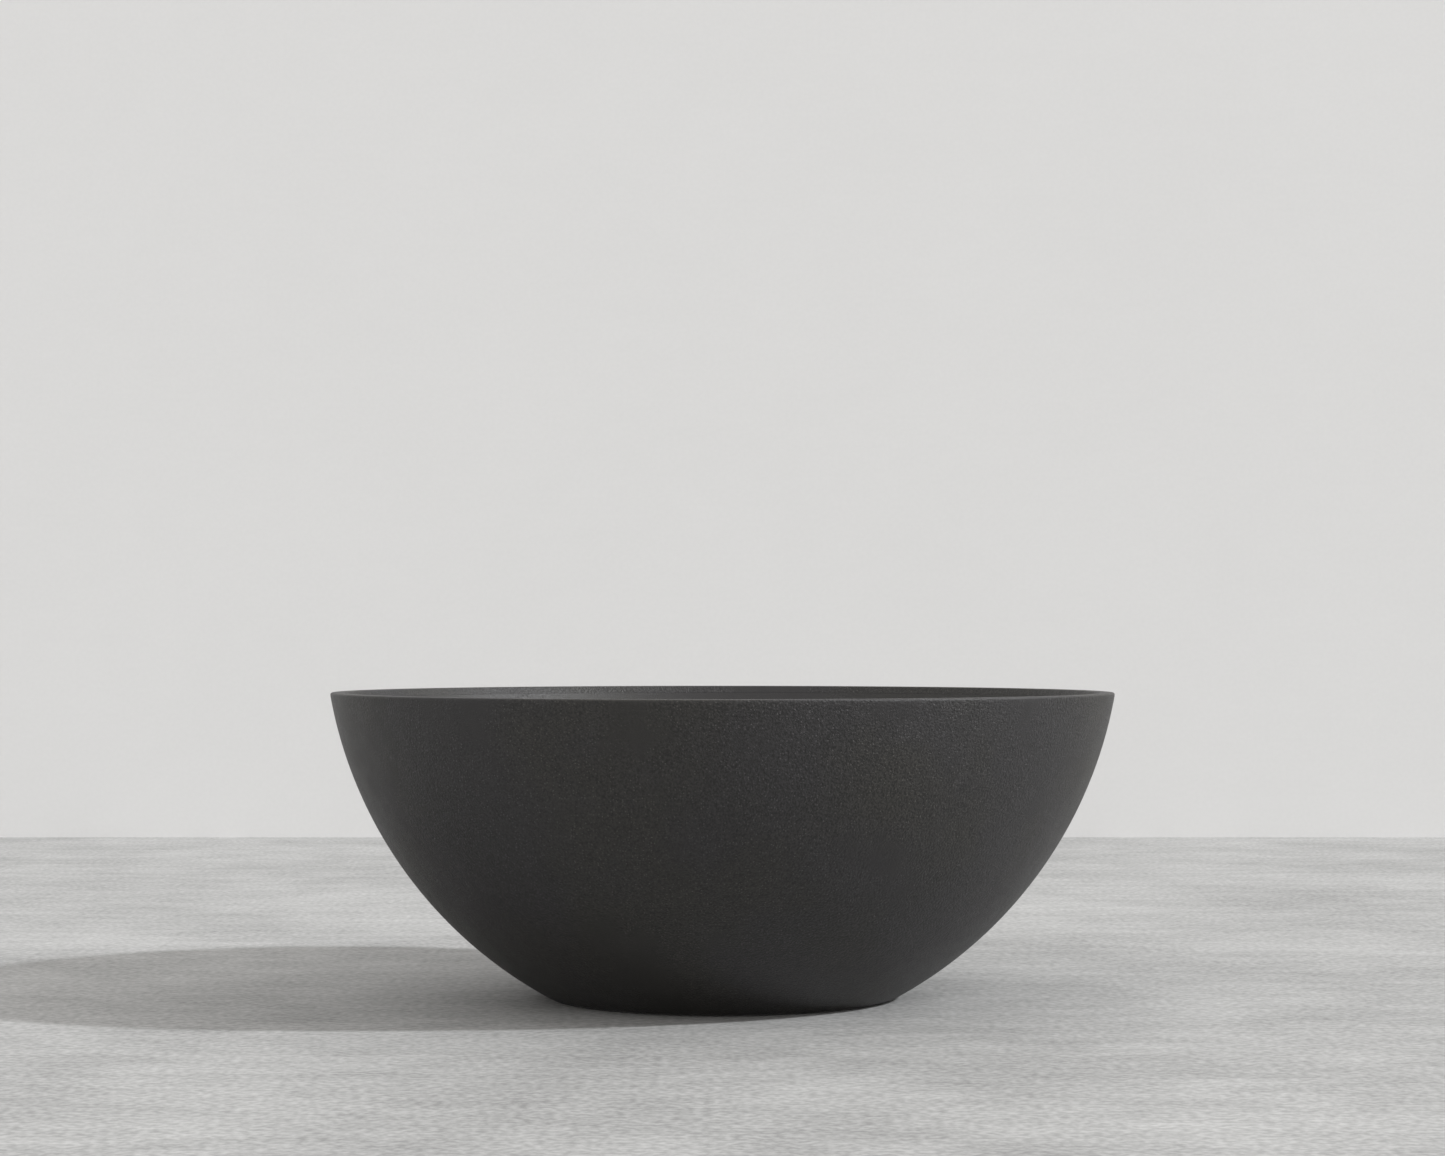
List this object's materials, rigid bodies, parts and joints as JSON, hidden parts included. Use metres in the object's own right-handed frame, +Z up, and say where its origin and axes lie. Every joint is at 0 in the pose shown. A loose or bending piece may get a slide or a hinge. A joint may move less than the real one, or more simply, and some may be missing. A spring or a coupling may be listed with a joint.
{
  "type": "freestanding bathtub",
  "caption": "Round freestanding bathtub: a double cast-stone bowl with a flat rim, standing on a foot ring, with a click-clack waste, overflow, trap and levelling feet.",
  "frame": {"origin": "centre of the foot ring, on the floor that the tub stands on", "axes": "+Z up; the overflow is on the +Y side and the waste outlet points along +X"},
  "size_m": [1.5, 1.5, 0.585],
  "materials": {
    "shell_stone": "matte cast stone, charcoal, fine pits and cloudy mottling",
    "basin_stone": "matte cast stone, charcoal, smoother inside",
    "board_ply": "birch plywood, sealed",
    "zinc_steel": "bright zinc plated",
    "brushed_steel": "brushed stainless",
    "brass": "machined",
    "black_rubber": "matte",
    "white_plastic": "moulded, semi-gloss",
    "grey_plastic": "moulded, matte"
  },
  "bodies": {
    "root": {"outer_shell": "shell_stone", "basin": "basin_stone", "base_board": "board_ply", "foot_socket_1": "zinc_steel", "foot_socket_2": "zinc_steel", "foot_socket_3": "zinc_steel", "foot_socket_4": "zinc_steel", "foot_nut_1": "zinc_steel", "foot_nut_2": "zinc_steel", "foot_nut_3": "zinc_steel", "foot_nut_4": "zinc_steel", "foot_screw_1a": "zinc_steel", "foot_screw_1b": "zinc_steel", "foot_screw_2a": "zinc_steel", "foot_screw_2b": "zinc_steel", "foot_screw_3a": "zinc_steel", "foot_screw_3b": "zinc_steel", "foot_screw_4a": "zinc_steel", "foot_screw_4b": "zinc_steel", "plug_spring": "zinc_steel", "overflow_screw": "zinc_steel", "hose_clip_lower": "zinc_steel", "hose_clip_upper": "zinc_steel", "waste_flange": "brushed_steel", "overflow_grid": "brushed_steel", "overflow_cover": "brushed_steel", "back_nut": "brass", "clicker_body": "brass", "flange_seal": "black_rubber", "under_seal": "black_rubber", "trap_washer": "black_rubber", "trap_lid_seal": "black_rubber", "outlet_seal": "black_rubber", "overflow_seal": "black_rubber", "waste_body": "white_plastic", "trap_body": "white_plastic", "trap_nut": "white_plastic", "outlet_nut": "white_plastic", "overflow_body": "white_plastic", "trap_lid": "grey_plastic", "outlet_pipe": "grey_plastic", "overflow_hose": "grey_plastic"},
    "plug": {"plug_cap": "brushed_steel", "plug_gasket": "black_rubber", "plug_stem": "brass"},
    "foot_1_pad": {"foot_pad_1": "black_rubber"},
    "foot_1_stud": {"foot_stud_1": "zinc_steel"},
    "foot_2_pad": {"foot_pad_2": "black_rubber"},
    "foot_2_stud": {"foot_stud_2": "zinc_steel"},
    "foot_3_pad": {"foot_pad_3": "black_rubber"},
    "foot_3_stud": {"foot_stud_3": "zinc_steel"},
    "foot_4_pad": {"foot_pad_4": "black_rubber"},
    "foot_4_stud": {"foot_stud_4": "zinc_steel"}
  },
  "joints": [
    {"name": "plug_slide", "type": "slide", "parent": "root", "child": "plug", "axis": [0, 0, 1], "range_m": [-0.0015, 0.009], "deforming": ["plug_spring"]},
    {"name": "foot_1_lift", "type": "slide", "parent": "root", "child": "foot_1_pad", "axis": [0, 0, 1], "range_m": [-0.014, 0.007]},
    {"name": "foot_1_turn", "type": "hinge", "parent": "foot_1_pad", "child": "foot_1_stud", "pos_m": [0.15556, 0.15556, 0.02], "axis": [0, 0, 1], "range_deg": [-2890, 1450]},
    {"name": "foot_2_lift", "type": "slide", "parent": "root", "child": "foot_2_pad", "axis": [0, 0, 1], "range_m": [-0.014, 0.007]},
    {"name": "foot_2_turn", "type": "hinge", "parent": "foot_2_pad", "child": "foot_2_stud", "pos_m": [-0.15556, 0.15556, 0.02], "axis": [0, 0, 1], "range_deg": [-2890, 1450]},
    {"name": "foot_3_lift", "type": "slide", "parent": "root", "child": "foot_3_pad", "axis": [0, 0, 1], "range_m": [-0.014, 0.007]},
    {"name": "foot_3_turn", "type": "hinge", "parent": "foot_3_pad", "child": "foot_3_stud", "pos_m": [-0.15556, -0.15556, 0.02], "axis": [0, 0, 1], "range_deg": [-2890, 1450]},
    {"name": "foot_4_lift", "type": "slide", "parent": "root", "child": "foot_4_pad", "axis": [0, 0, 1], "range_m": [-0.014, 0.007]},
    {"name": "foot_4_turn", "type": "hinge", "parent": "foot_4_pad", "child": "foot_4_stud", "pos_m": [0.15556, -0.15556, 0.02], "axis": [0, 0, 1], "range_deg": [-2890, 1450]}
  ],
  "couplings": [
    {"joint": "foot_1_turn", "follows": "foot_1_lift", "rad_per_m": 3590.4},
    {"joint": "foot_2_turn", "follows": "foot_2_lift", "rad_per_m": 3590.4},
    {"joint": "foot_3_turn", "follows": "foot_3_lift", "rad_per_m": 3590.4},
    {"joint": "foot_4_turn", "follows": "foot_4_lift", "rad_per_m": 3590.4}
  ]
}
